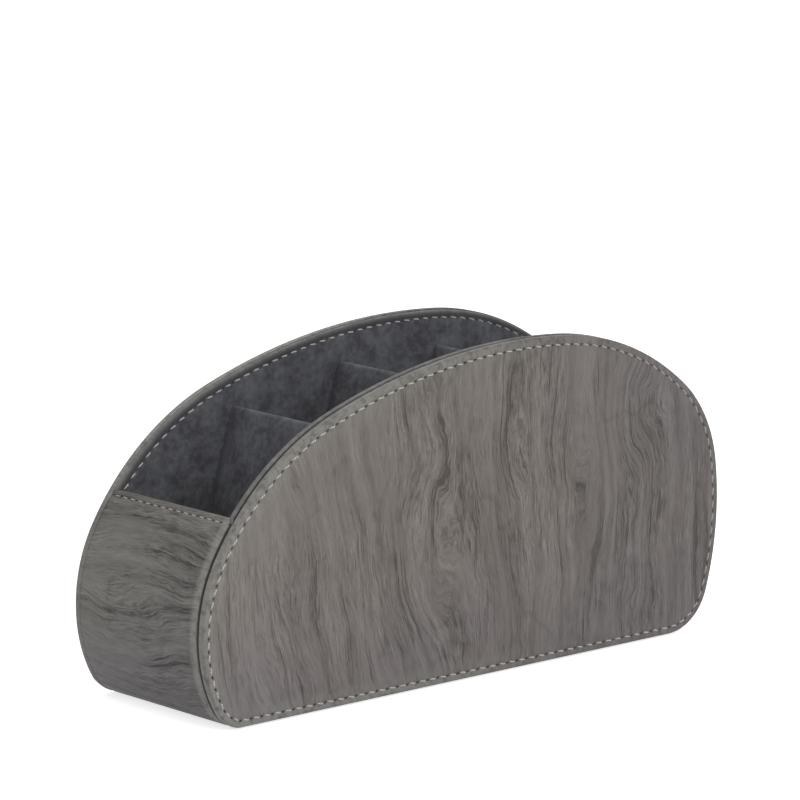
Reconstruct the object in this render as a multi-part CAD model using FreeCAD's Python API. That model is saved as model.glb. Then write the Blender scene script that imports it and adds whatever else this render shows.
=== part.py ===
import FreeCAD, Part
import math
import os
from collections import namedtuple

from FreeCAD import Vector

# Remote control holder: a stiffened leather box with five leaning compartments between two rounded sides.
# Sizes are millimetres. +Z is up, +X runs from the low front wall to the tall back wall, +Y is to the left.
# The origin is on the table, under the middle of the holder.

# Overall size
length = 260.0
side_height = 126.8
width = 75.4
front_wall_height = 77.8
back_wall_height = 98.0

# Side profile: arcs walked clockwise from the front foot, each tangent to the next.
# A heading is the direction of travel in degrees: 180 is to the front, 90 is up, 0 is to the back.
front_foot_radius = 11.5
front_bulge_radius = 59.0
back_shoulder_radius = 113.0
back_wall_radius = 117.0
back_foot_radius = 21.0
headings = (180.0, 119.0, 59.0, 20.5, -4.5, -40.5, -82.0, -108.0, -180.0)

# Layers of the side walls, from outside in
leather = 1.0
outer_board = 2.0
inner_board = 2.2
side_lining = 0.6
rim_bevel = 1.2
seam_bevel = 0.5
edging_width = 2.2

# Layers of the band that runs down the front, under the base and up the back
band_board = 2.2
band_lining = 0.8
band_turn_in = 9.0
lip_radius = 0.8

# Dividers
compartments = 5
divider_lean = 18.0
divider_board = 2.0
divider_sleeve = 0.6
divider_edge_radius = 1.2
divider_drop = 14.0
spacing_height = 60.0

# Top stitching
stitch_inset = 2.7
stitch_pitch = 5.0
inner_stitch_inset = 3.0
inner_stitch_pitch = 4.8
lip_stitch_inset = 3.0
lip_stitch_pitch = 4.6
stitch_gap = 1.2
stitch_width = 0.7
stitch_height = 0.35
stitch_end_slope = 0.6

# Felt pad under the base
pad_thickness = 0.8
pad_margin = 2.5
pad_corner = 6.0

# How close two places count as one, and how straight an edge has to run to count as parallel
near = 1e-4
parallel = 0.8

# Places that follow from the sizes
outer_wall = leather + outer_board
band_wall = leather + band_board
side_face_y = width / 2
seam_y = side_face_y - outer_wall
inner_board_y = seam_y - inner_board
lining_y = inner_board_y - side_lining
floor_z = pad_thickness + band_wall + band_lining

Arc = namedtuple("Arc", "x z radius start end")


def clipped(heading, high, low):
    """A heading held between two limits."""
    return min(max(heading, low), high)


def share(index, high, low, wave):
    """Travel per millimetre of radius of the part of one arc between two headings."""
    start = math.radians(clipped(headings[index], high, low))
    end = math.radians(clipped(headings[index + 1], high, low))
    return wave(end) - wave(start)


def profile_radii():
    """Radii of all the arcs. Three are solved, so that the profile closes at its length and height."""
    given = {0: front_foot_radius, 1: front_bulge_radius, 4: back_shoulder_radius,
             6: back_wall_radius, 7: back_foot_radius}
    solved = (2, 3, 5)
    spans = ((180.0, 0.0, math.cos, side_height),
             (0.0, -180.0, math.cos, -side_height),
             (90.0, -90.0, math.sin, -length))
    rows = []
    rest = []
    for high, low, wave, total in spans:
        rows.append([share(index, high, low, wave) for index in solved])
        rest.append(total - sum(radius * share(index, high, low, wave) for index, radius in given.items()))
    matrix = FreeCAD.Matrix(rows[0][0], rows[0][1], rows[0][2], 0,
                            rows[1][0], rows[1][1], rows[1][2], 0,
                            rows[2][0], rows[2][1], rows[2][2], 0,
                            0, 0, 0, 1)
    found = matrix.inverse().multVec(Vector(*rest))
    radii = dict(given)
    radii.update(zip(solved, found))
    return [radii[index] for index in range(len(headings) - 1)]


def profile_arcs():
    """The side profile's arcs, centred on the origin and standing on the pad."""
    x = 0.0
    z = pad_thickness
    arcs = []
    for index, radius in enumerate(profile_radii()):
        start = math.radians(headings[index])
        end = math.radians(headings[index + 1])
        arc = Arc(x + radius * math.sin(start), z - radius * math.cos(start), radius,
                  headings[index], headings[index + 1])
        arcs.append(arc)
        x = arc.x - radius * math.sin(end)
        z = arc.z + radius * math.cos(end)
    front = min(arc.x - arc.radius for arc in arcs if arc.end <= 90.0 <= arc.start)
    shift = -length / 2 - front
    return [arc._replace(x=arc.x + shift) for arc in arcs]


ARCS = profile_arcs()


def arc_at(heading):
    """The arc that a heading lies on."""
    return next(arc for arc in ARCS if arc.end <= heading <= arc.start)


def place(arc, heading, inset, y):
    """Point on an arc moved inwards by an inset."""
    angle = math.radians(heading)
    reach = arc.radius - inset
    return Vector(arc.x - reach * math.sin(angle), y, arc.z + reach * math.cos(angle))


def moved(heading, distance):
    """Heading reached after a distance along the outline, clockwise where it is positive."""
    step = 1 if distance > 0 else -1
    index = ARCS.index(arc_at(heading))
    while True:
        arc = ARCS[index]
        limit = arc.end if step > 0 else arc.start
        room = abs(math.radians(heading - limit)) * arc.radius
        if room >= abs(distance):
            return heading - math.degrees(distance / arc.radius)
        distance -= step * room
        heading = limit
        index += step


def crossing(x, z, direction_x, direction_z, inset=0.0):
    """Distance from a point inside to the inset profile along a direction, and the heading there."""
    for arc in ARCS:
        along = (arc.x - x) * direction_x + (arc.z - z) * direction_z
        square = (arc.x - x) ** 2 + (arc.z - z) ** 2 - (arc.radius - inset) ** 2
        if along ** 2 < square:
            continue
        distance = along + math.sqrt(along ** 2 - square)
        hit_x = x + distance * direction_x - arc.x
        hit_z = z + distance * direction_z - arc.z
        heading = math.degrees(math.atan2(-hit_x, hit_z))
        if distance > 0 and arc.end <= heading <= arc.start:
            return distance, heading
    raise ValueError("the line leaves through the base")


lip_heading = crossing(0.0, front_wall_height + pad_thickness, -1.0, 0.0)[1]
back_heading = crossing(0.0, back_wall_height + pad_thickness, 1.0, 0.0)[1]


def base_line(inset, y):
    """Straight stretch of the profile along the base, from the back foot to the front foot."""
    return Part.makeLine(place(ARCS[-1], -180.0, inset, y), place(ARCS[0], 180.0, inset, y))


def track(inset, start, end, y):
    """Edges along the profile, clockwise between two headings, and round the base where end is larger."""
    if end > start:
        return track(inset, start, -180.0, y) + [base_line(inset, y)] + track(inset, 180.0, end, y)
    edges = []
    for arc in ARCS:
        high = min(start, arc.start)
        low = max(end, arc.end)
        if low < high:
            stops = [place(arc, heading, inset, y) for heading in (high, (high + low) / 2, low)]
            edges.append(Part.Arc(*stops).toShape())
    return edges


def extruded(edges, y_from, y_to):
    """Solid from a closed run of edges drawn at one side, reaching to the other."""
    face = Part.Face(Part.Wire(Part.__sortEdges__(edges)))
    return face.extrude(Vector(0, y_to - y_from, 0))


def plate(inset, y_from, y_to):
    """Plate with the whole side profile."""
    return extruded(track(inset, 180.0, -180.0, y_from) + [base_line(inset, y_from)], y_from, y_to)


def stepped_plate(dome_inset, y_from, y_to):
    """Plate that stands inside the band, and reaches out to its own inset in the open dome above it."""
    dome = track(dome_inset, lip_heading, back_heading, y_from)
    bed = track(band_wall, back_heading, lip_heading, y_from)
    steps = [Part.makeLine(place(arc_at(heading), heading, dome_inset, y_from),
                           place(arc_at(heading), heading, band_wall, y_from))
             for heading in (lip_heading, back_heading)]
    return extruded(dome + bed + steps, y_from, y_to)


def strip(outer, inner, start, end, y_from, y_to):
    """Strip between two insets of the profile, clockwise between two headings."""
    ends = [Part.makeLine(place(arc_at(heading), heading, outer, y_from),
                          place(arc_at(heading), heading, inner, y_from))
            for heading in (start, end)]
    edges = track(outer, start, end, y_from) + track(inner, start, end, y_from) + ends
    return extruded(edges, y_from, y_to)


def flat_edges(solid, y):
    """Edges that lie in the plane of one side."""
    return [edge for edge in solid.Edges if all(abs(vertex.Y - y) < near for vertex in edge.Vertexes)]


def edges_along(solid, axis):
    """Straight edges that run along an axis."""
    return [edge for edge in solid.Edges
            if abs(edge.tangentAt(edge.FirstParameter).dot(axis)) > parallel]


def outline_edges(solid, y):
    """Edges in the plane of one side that follow the outline itself, at no inset."""
    found = []
    for edge in flat_edges(solid, y):
        middle = edge.valueAt((edge.FirstParameter + edge.LastParameter) / 2)
        for arc in ARCS:
            gap = math.hypot(middle.x - arc.x, middle.z - arc.z) - arc.radius
            heading = math.degrees(math.atan2(arc.x - middle.x, middle.z - arc.z))
            if abs(gap) < near and arc.end <= heading <= arc.start:
                found.append(edge)
                break
    return found


def cross_edges(solid, heading, inset):
    """Edges along Y at one heading and inset, such as the corners of the band's ends."""
    corner = place(arc_at(heading), heading, inset, 0.0)
    return [edge for edge in solid.Edges
            if all(math.hypot(vertex.X - corner.x, vertex.Z - corner.z) < near for vertex in edge.Vertexes)]


def stitch(start, end, outward):
    """One stitch between two needle holes: a small ridge with sloping ends, seated on the surface."""
    along = end - start
    half = (along.Length - stitch_gap) / 2
    bar = Part.makeWedge(-half, 0, -stitch_width / 2, 0, stitch_end_slope - half,
                         half, stitch_height, stitch_width / 2, 0, half - stitch_end_slope)
    along.normalize()
    bar.Placement = FreeCAD.Placement((start + end) * 0.5,
                                      FreeCAD.Rotation(along, outward, along.cross(outward), "XYZ"))
    return bar


def stitch_row(edges, pitch, outward):
    """Row of stitches along a run of edges, as separate solids."""
    wire = Part.Wire(edges)
    count = round(wire.Length / pitch)
    holes = wire.discretize(Number=count + 1)
    return Part.makeCompound([stitch(start, end, outward) for start, end in zip(holes, holes[1:])])


def outer_cover():
    """Leather of one side panel: the face, rolled over the board's edge down to the seam."""
    cover = plate(0.0, -side_face_y, -seam_y)
    cover = cover.makeChamfer(rim_bevel, flat_edges(cover, -side_face_y))
    cover = cover.makeChamfer(seam_bevel, flat_edges(cover, -seam_y))
    return cover.cut(outer_core())


def outer_core():
    """Stiff board inside the leather of one side panel."""
    return plate(leather, leather - side_face_y, -seam_y)


def inner_core():
    """Stiff board of one inner side, standing on the band's board."""
    return stepped_plate(leather, -seam_y, -inner_board_y)


def inner_edging():
    """Leather strip that binds the inner board's edge round the open dome."""
    edging = strip(0.0, edging_width, lip_heading, back_heading, -seam_y, -lining_y)
    edging = edging.makeChamfer(seam_bevel, outline_edges(edging, -seam_y))
    return edging.cut(strip(leather, edging_width, lip_heading, back_heading, -seam_y, -inner_board_y))


def inner_lining():
    """Suede sheet on the inner board, between the edging and the base."""
    return stepped_plate(edging_width, -inner_board_y, -lining_y)


def outer_stitches():
    """Stitches all round one side panel."""
    edges = track(stitch_inset, 180.0, -180.0, -side_face_y) + [base_line(stitch_inset, -side_face_y)]
    return stitch_row(edges, stitch_pitch, Vector(0, -1, 0))


def inner_stitches():
    """Stitches along the open dome, through the lining of one inner side."""
    edges = track(inner_stitch_inset, lip_heading, back_heading, -lining_y)
    return stitch_row(edges, inner_stitch_pitch, Vector(0, 1, 0))


def end_headings(distance):
    """Headings on the band at a distance from its back end and from its lip."""
    return moved(back_heading, distance), moved(lip_heading, -distance)


def band_cover():
    """Leather of the band, turned over both ends of its board and down inside the box."""
    back_board, lip_board = end_headings(leather)
    back_turn, lip_turn = end_headings(band_turn_in)
    turn_inset = band_wall + band_lining
    cover = strip(0.0, leather, back_heading, lip_heading, -seam_y, seam_y)
    cover = cover.multiFuse([
        strip(leather, band_wall, back_heading, back_board, -seam_y, seam_y),
        strip(leather, band_wall, lip_board, lip_heading, -seam_y, seam_y),
        strip(band_wall, turn_inset, back_heading, back_turn, -lining_y, lining_y),
        strip(band_wall, turn_inset, lip_turn, lip_heading, -lining_y, lining_y)]).removeSplitter()
    for heading in (back_heading, lip_heading):
        corners = cross_edges(cover, heading, 0.0) + cross_edges(cover, heading, turn_inset)
        cover = cover.makeFillet(lip_radius, corners)
    return cover


def band_core():
    """Stiff board of the band, bent round both feet."""
    back_board, lip_board = end_headings(leather)
    return strip(leather, band_wall, back_board, lip_board, -seam_y, seam_y)


def band_inside():
    """Suede on the inside of the band, between the leather turned in at its two ends."""
    back_turn, lip_turn = end_headings(band_turn_in)
    return strip(band_wall, band_wall + band_lining, back_turn, lip_turn, -lining_y, lining_y)


def end_stitches(heading):
    """Row of stitches across the band, close to one of its ends."""
    arc = arc_at(heading)
    start = place(arc, heading, 0.0, stitch_gap - seam_y)
    end = place(arc, heading, 0.0, seam_y - stitch_gap)
    outward = place(arc, heading, 0.0, 0.0) - Vector(arc.x, 0.0, arc.z)
    outward.normalize()
    return stitch_row([Part.makeLine(start, end)], lip_stitch_pitch, outward)


def divider_places():
    """X of each divider at the spacing height, evenly spaced between the band's inner faces."""
    inset = band_wall + band_lining
    front = -crossing(0.0, spacing_height, -1.0, 0.0, inset)[0]
    back = crossing(0.0, spacing_height, 1.0, 0.0, inset)[0]
    step = (back - front) / compartments
    return [front + step * number for number in range(1, compartments)]


def leaning_plate(x, thickness, top_margin):
    """Upright plate across the box that leans back, with its foot cut level on the floor."""
    lean = math.radians(divider_lean)
    rise = Vector(math.sin(lean), 0, math.cos(lean))
    across = Vector(math.cos(lean), 0, -math.sin(lean))
    middle = Vector(x, -lining_y, spacing_height)
    top = crossing(x, spacing_height, rise.x, rise.z)[0] - divider_drop - top_margin
    corners = []
    for offset in (-thickness / 2, thickness / 2):
        face = middle + across * offset
        corners.append((face + rise * ((floor_z - face.z) / rise.z), face + rise * top))
    outline = [corners[0][0], corners[0][1], corners[1][1], corners[1][0], corners[0][0]]
    return Part.Face(Part.makePolygon(outline)).extrude(Vector(0, 2 * lining_y, 0))


def divider_core(x):
    """Stiff board inside one divider."""
    return leaning_plate(x, divider_board, divider_sleeve)


def divider_cover(x):
    """Suede sleeve folded over one divider's board."""
    sleeve = leaning_plate(x, divider_board + 2 * divider_sleeve, 0.0)
    top = max(vertex.Z for vertex in sleeve.Vertexes)
    lowest = top - (divider_board + 2 * divider_sleeve)
    ridge = [edge for edge in edges_along(sleeve, Vector(0, 1, 0)) if edge.CenterOfMass.z > lowest]
    return sleeve.makeFillet(divider_edge_radius, ridge).cut(divider_core(x))


def base_pad():
    """Felt pad under the flat of the base, with clipped corners."""
    front = place(ARCS[0], 180.0, 0.0, 0.0).x + pad_margin
    back = place(ARCS[-1], -180.0, 0.0, 0.0).x - pad_margin
    half = seam_y - pad_margin
    pad = Part.makeBox(back - front, 2 * half, pad_thickness, Vector(front, -half, 0))
    return pad.makeChamfer(pad_corner, edges_along(pad, Vector(0, 0, 1)))


def mirrored(shape):
    """The same piece on the left side."""
    return shape.mirror(Vector(0, 0, 0), Vector(0, 1, 0))


nodes = {}
for piece, build in (("outer_cover", outer_cover), ("outer_board", outer_core), ("inner_board", inner_core),
                     ("inner_edging", inner_edging), ("lining", inner_lining),
                     ("outer_stitches", outer_stitches), ("inner_stitches", inner_stitches)):
    nodes["right_" + piece] = build()
    nodes["left_" + piece] = mirrored(nodes["right_" + piece])
nodes["band_cover"] = band_cover()
nodes["band_board"] = band_core()
nodes["band_lining"] = band_inside()
nodes["back_wall_stitches"] = end_stitches(moved(back_heading, lip_stitch_inset))
nodes["front_wall_stitches"] = end_stitches(moved(lip_heading, -lip_stitch_inset))
for number, x in enumerate(divider_places(), start=1):
    nodes["divider_%d_board" % number] = divider_core(x)
    nodes["divider_%d_sleeve" % number] = divider_cover(x)
nodes["base_pad"] = base_pad()

os.makedirs("parts", exist_ok=True)
for name, shape in nodes.items():
    shape.exportStep("parts/" + name + ".step")
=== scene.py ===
# %% [markdown]
# # Remote control holder
#
# The real holder is a box of stiff board, covered in leather that is printed with a grey wood grain.
# Two D-shaped sides stand against one long band, which runs down the low front, under the base and
# up the taller back. Suede lines the inside and wraps four leaning dividers.
#
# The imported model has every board, cover and stitch at its true place and size. It could be shown as
# it is, but leather needs soft rolls, puckers and thread. So the boards stay, and each covering is
# made again here, over the board that carries it.

# %% Load the fixed frame
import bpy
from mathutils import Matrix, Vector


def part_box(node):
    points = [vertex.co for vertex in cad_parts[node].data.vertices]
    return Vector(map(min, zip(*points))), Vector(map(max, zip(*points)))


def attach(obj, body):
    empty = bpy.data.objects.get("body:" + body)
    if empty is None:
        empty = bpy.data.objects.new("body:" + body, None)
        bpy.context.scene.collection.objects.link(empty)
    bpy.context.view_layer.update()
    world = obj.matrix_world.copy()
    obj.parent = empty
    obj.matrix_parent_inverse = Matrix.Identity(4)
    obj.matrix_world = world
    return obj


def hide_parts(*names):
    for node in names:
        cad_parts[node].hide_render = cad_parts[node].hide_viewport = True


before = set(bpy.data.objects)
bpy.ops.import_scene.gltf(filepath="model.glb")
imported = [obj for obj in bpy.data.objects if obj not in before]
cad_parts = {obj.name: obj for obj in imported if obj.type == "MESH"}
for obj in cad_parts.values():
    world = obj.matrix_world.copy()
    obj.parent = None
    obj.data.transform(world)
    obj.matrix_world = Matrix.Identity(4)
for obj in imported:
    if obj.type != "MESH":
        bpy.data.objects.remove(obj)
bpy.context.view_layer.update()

# %% Bench tools
import math
import random
from collections import namedtuple

import bmesh
import bpy
from mathutils import Matrix, Vector

MM = 0.001
dice = random.Random(7)
scene = bpy.context.scene
print("CAD nodes:", len(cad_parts))

# %% [markdown]
# ## Camera
#
# The photograph looks at the low front and the right side, from a little above, through a long lens:
# the holder's parallel edges hardly draw together. A camera could be placed by eye, but the outline
# in the photograph fixes its turn, tilt and distance, so those measured values are written down.

# %% Camera at the photograph's viewing angle
camera_turn = 41.225
camera_tilt = 11.183
camera_place = (-1.24231, -1.41468, 0.47421)
lens_length = 227.8
film_width = 36.0
farthest = 30.0
camera_data = bpy.data.cameras.new("camera")
camera_data.lens = lens_length
camera_data.sensor_width = film_width
camera_data.clip_end = farthest
camera = bpy.data.objects.new("camera", camera_data)
camera.location = camera_place
camera.rotation_euler = (math.radians(90.0 - camera_tilt), 0.0, math.radians(-camera_turn))
scene.collection.objects.link(camera)
scene.camera = camera
print("camera stands", round(camera.location.length, 3), "m from the middle of the base")

# %% [markdown]
# ## Node helpers
#
# Every finish below is a small tree of nodes. Adding nodes by hand takes many lines, so one helper
# adds a node with its settings and links, and a few more name the sums that come up again and again.
# The last one joins a colour, its roughness and its bumps to the surface, as every finish needs.


# %% Helpers for node trees
def add(tree, kind, links=None, **settings):
    """Adds a node. Links maps a socket's name or number to a value, or to another node's output."""
    made = tree.nodes.new(kind)
    for name, value in settings.items():
        setattr(made, name, value)
    for key, value in (links or {}).items():
        if isinstance(value, bpy.types.NodeSocket):
            tree.links.new(value, made.inputs[key])
        else:
            made.inputs[key].default_value = value
    return made


def calc(tree, operation, *values):
    """One sum on numbers."""
    return add(tree, "ShaderNodeMath", dict(enumerate(values)), operation=operation).outputs[0]


def plus(tree, total, *others):
    """All the values added up."""
    for value in others:
        total = calc(tree, "ADD", total, value)
    return total


def times(tree, product, *others):
    """All the values multiplied."""
    for value in others:
        product = calc(tree, "MULTIPLY", product, value)
    return product


def clamped(tree, value):
    """A value kept from 0 to 1."""
    return add(tree, "ShaderNodeClamp", {0: value}).outputs[0]


def noted(tree, note):
    """What a cover's vertices note, such as its margin or its holes."""
    return add(tree, "ShaderNodeAttribute", attribute_name=note).outputs["Fac"]


def point(tree, x, y, z=0.0):
    """Three numbers as one point."""
    return add(tree, "ShaderNodeCombineXYZ", {0: x, 1: y, 2: z}).outputs[0]


def noise(tree, place, scale=1.0, detail=2.0, roughness=0.5):
    """Soft noise from 0 to 1 at a point."""
    return add(tree, "ShaderNodeTexNoise", {"Vector": place, "Scale": scale, "Detail": detail,
                                            "Roughness": roughness}).outputs[0]


def between(tree, value, low, high, to_low=0.0, to_high=1.0):
    """A smooth step: to_low at low, and to_high at high."""
    return add(tree, "ShaderNodeMapRange", {0: value, 1: low, 2: high, 3: to_low, 4: to_high},
               interpolation_type="SMOOTHSTEP").outputs[0]


def tint(tree, share, first, second):
    """A mix of two colours."""
    return add(tree, "ShaderNodeMix", {0: share, 6: first, 7: second}, data_type="RGBA").outputs[2]


def srgb(red, green, blue):
    """A colour as a picture shows it, 0 to 255, as the linear values that a shader takes."""
    return (*[((v / 255 + 0.055) / 1.055) ** 2.4 for v in (red, green, blue)], 1.0)


def object_mm(tree):
    """Object coordinates in millimetres."""
    coordinates = add(tree, "ShaderNodeTexCoord").outputs["Object"]
    return add(tree, "ShaderNodeMapping", {0: coordinates, 3: (1000.0, 1000.0, 1000.0)}).outputs[0]


def new_finish(name):
    """An empty material and its tree."""
    finish = bpy.data.materials.new(name)
    finish.use_nodes = True
    finish.node_tree.nodes.clear()
    return finish, finish.node_tree


def coat(tree, colour, roughness, specular, height, strength, depth, **more):
    """Ends a finish: a shader with its colour, roughness and bumps. More are other sockets by name."""
    bump = add(tree, "ShaderNodeBump", {"Strength": strength, "Distance": depth, "Height": height})
    sockets = {"Base Color": colour, "Roughness": roughness, "Specular IOR Level": specular}
    sockets["Normal"] = bump.outputs[0]
    sockets.update({name.replace("_", " "): value for name, value in more.items()})
    shader = add(tree, "ShaderNodeBsdfPrincipled", sockets).outputs[0]
    add(tree, "ShaderNodeOutputMaterial", {0: shader})


# %% [markdown]
# ## Floor, light and background
#
# The photograph was taken in a white studio. A white sky would light the leather too strongly, so the
# sky lights it at a plain level, and only what the camera sees straight, or in gloss and glass, is
# pure white. The floor does the same, and keeps the soft shadow under the holder.


# %% Studio background
def seen_directly(tree):
    """1 where a ray comes from the camera, or through gloss or glass."""
    rays = add(tree, "ShaderNodeLightPath").outputs
    seen = calc(tree, "MAXIMUM", rays["Is Camera Ray"], rays["Is Glossy Ray"])
    return calc(tree, "MAXIMUM", seen, rays["Is Transmission Ray"])


pure_white = (1.0, 1.0, 1.0, 1.0)
sky_level = 0.5
world = bpy.data.worlds.new("studio")
world.use_nodes = True
scene.world = world
sky = world.node_tree
sky.nodes.clear()
soft = add(sky, "ShaderNodeBackground", {0: pure_white, 1: sky_level}).outputs[0]
white = add(sky, "ShaderNodeBackground", {0: pure_white, 1: 1.0}).outputs[0]
both = add(sky, "ShaderNodeMixShader", {0: seen_directly(sky), 1: soft, 2: white}).outputs[0]
add(sky, "ShaderNodeOutputWorld", {0: both})
scene.view_settings.view_transform = "Standard"
print("sky level", sky_level)


# %% Floor and lamps
floor_glow = 0.72
paper_half = 14.0


def floor_finish():
    """Pale paper that the camera sees as white, apart from the holder's shadow."""
    finish, tree = new_finish("floor_paper")
    paper = add(tree, "ShaderNodeBsdfDiffuse", {0: srgb(238, 238, 238)}).outputs[0]
    lift = times(tree, seen_directly(tree), floor_glow)
    glow = add(tree, "ShaderNodeEmission", {0: pure_white, 1: lift}).outputs[0]
    shader = add(tree, "ShaderNodeAddShader", {0: paper, 1: glow}).outputs[0]
    add(tree, "ShaderNodeOutputMaterial", {0: shader})
    return finish


def lamp(name, place, size, watts):
    """A square soft box that faces the holder."""
    data = bpy.data.lights.new(name, "AREA")
    data.size = size
    data.energy = watts
    made = bpy.data.objects.new(name, data)
    made.location = place
    aim = Vector((0.0, 0.0, 0.06)) - Vector(place)
    made.rotation_euler = aim.to_track_quat("-Z", "Y").to_euler()
    scene.collection.objects.link(made)


paper = bmesh.new()
bmesh.ops.create_grid(paper, x_segments=1, y_segments=1, size=paper_half)
floor_mesh = bpy.data.meshes.new("floor")
paper.to_mesh(floor_mesh)
paper.free()
floor = bpy.data.objects.new("floor", floor_mesh)
floor_mesh.materials.append(floor_finish())
scene.collection.objects.link(floor)
lamp("key", (-0.3, -1.8, 1.1), 1.2, 16.5)
lamp("fill", (-1.8, -0.3, 1.2), 1.4, 1.5)
lamp("top", (0.1, 0.3, 1.9), 1.6, 8.0)

# %% [markdown]
# ## The side profile
#
# Both sides, the band and the trims all follow one outline: eight arcs that flow into each other, and
# a straight base. A spline drawn by eye could look close, but the arcs are what the boards were cut
# to. A heading says which way the outline runs: 180 is to the front, 90 up, 0 to the back.

# %% The outline's arcs
Arc = namedtuple("Arc", "x z radius start end")
Leg = namedtuple("Leg", "x z turn run radius")
headings = (180.0, 119.0, 59.0, 20.5, -4.5, -40.5, -82.0, -108.0, -180.0)
radii = (11.5, 59.0, 106.8159, 266.0292, 113.0, 52.0018, 117.0, 21.0)
foot_x = -112.5444
foot_z = 0.8
lip_heading = 50.531
back_heading = -42.584


def outline_arcs():
    """Walks from the front foot, and gives each arc's centre, radius and headings."""
    x, z = foot_x, foot_z
    arcs = []
    for radius, start, end in zip(radii, headings, headings[1:]):
        first, last = math.radians(start), math.radians(end)
        arc = Arc(x + radius * math.sin(first), z - radius * math.cos(first), radius, start, end)
        arcs.append(arc)
        x, z = arc.x - radius * math.sin(last), arc.z + radius * math.cos(last)
    return arcs


arcs = outline_arcs()
print("arcs:", len(arcs), "of", [round(arc.radius, 1) for arc in arcs], "mm")


# %% Places on the outline
def arc_at(heading):
    """The arc that a heading lies on."""
    return next(arc for arc in arcs if arc.end <= heading <= arc.start)


def inwards(heading):
    """Direction from the outline into the board."""
    angle = math.radians(heading)
    return Vector((math.sin(angle), 0.0, -math.cos(angle)))


def onwards(heading):
    """Direction in which the outline is walked."""
    angle = math.radians(heading)
    return Vector((math.cos(angle), 0.0, math.sin(angle)))


def place(heading, inset=0.0, y=0.0):
    """Point on the outline, moved into the board by an inset."""
    arc = arc_at(heading)
    return Vector((arc.x, y, arc.z)) - inwards(heading) * (arc.radius - inset)


def moved(heading, distance):
    """Heading at a distance along the same arc, forwards where it is positive."""
    return heading - math.degrees(distance / arc_at(heading).radius)


def legs(start, end):
    """The turns that lead clockwise from one heading to another, with the base where they pass it."""
    if end > start:
        return legs(start, -180.0) + [base] + legs(180.0, end)
    found = []
    for arc in arcs:
        high, low = min(start, arc.start), max(end, arc.end)
        if low < high:
            found.append(Leg(arc.x, arc.z, math.radians(high - low), 0.0, arc.radius))
    return found


def leg_length(leg, inset=0.0):
    """How long a leg is at an inset."""
    return abs(leg.run) or leg.turn * (leg.radius - inset)


base = Leg(0.0, 0.0, 0.0, foot_x - arcs[-1].x, 0.0)
whole = legs(180.0, -180.0) + [base]
for end, heading in (("lip", lip_heading), ("top of the back", back_heading)):
    print(end, "at", [round(value, 1) for value in place(heading)])

# %% [markdown]
# ## Sheets that remember the outline
#
# Leather and suede are sheets, so each cover starts as a line of vertices along the outline, and the
# line is pulled out into a sheet, ring by ring. To draw the line, one vertex is spun round each arc's
# centre. Every vertex keeps the direction into the board, how far it is along the outline, and where
# it is in its stitch, so that later rings can be set in, and needle holes pressed down.

# %% Draw the outline with a spun vertex
even = (1.0,)
stitch_steps = (0.07, 0.13, 0.3, 0.3, 0.13, 0.07)
nearly_one = 0.9999


def new_sheet():
    """An empty mesh in millimetres, with the notes that its vertices keep."""
    sheet = bmesh.new()
    sheet.verts.layers.float_vector.new("inward")
    for note in ("along", "phase", "margin", "hole"):
        sheet.verts.layers.float.new(note)
    return sheet


def notes_of(sheet):
    """The numbers that a sheet's vertices note, by name, and the direction into the board."""
    return sheet.verts.layers.float, sheet.verts.layers.float_vector["inward"]


def spun(sheet, dot, leg, share):
    """The next vertex, a share of the way along a leg."""
    made = bmesh.ops.spin(sheet, geom=[dot], cent=(leg.x, dot.co.y, leg.z), axis=(0.0, 1.0, 0.0),
                          dvec=(leg.run * share, 0.0, 0.0), angle=leg.turn * share, steps=1)
    return next(item for item in made["geom_last"] if isinstance(item, bmesh.types.BMVert))


def draw_line(sheet, y, start, route, pitch, steps=even, inset=0.0, dot=None):
    """Vertices along a route of legs, each divided evenly at about a pitch. Gives back the last one."""
    notes, inward = notes_of(sheet)
    if dot is None:
        dot = sheet.verts.new(place(start, 0.0, y))
        dot[inward] = inwards(start)
    for leg in route:
        count = max(1, round(leg_length(leg, inset) / pitch))
        for number in range(count * len(steps)):
            step = number % len(steps)
            travelled = dot[notes["along"]]
            dot = spun(sheet, dot, leg, steps[step] / count)
            dot[notes["along"]] = travelled + leg_length(leg) * steps[step] / count
            dot[notes["phase"]] = sum(steps[:step + 1]) % nearly_one
            centre = Vector((leg.x, dot.co.y, leg.z))
            dot[inward] = (centre - dot.co).normalized() if leg.turn else (0.0, 0.0, 1.0)
    return dot


def close_line(sheet):
    """Joins the last vertex of a full turn to the first."""
    bmesh.ops.remove_doubles(sheet, verts=sheet.verts, dist=0.01)
    print("outline of", len(sheet.verts), "vertices")
    return list(sheet.edges)


def pull(sheet, edges, move):
    """Pulls edges out into a new row of faces. Move says where each new vertex goes."""
    made = bmesh.ops.extrude_edge_only(sheet, edges=edges)["geom"]
    for vertex in made:
        if isinstance(vertex, bmesh.types.BMVert):
            move(vertex)
    return [edge for edge in made if isinstance(edge, bmesh.types.BMEdge)]
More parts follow.
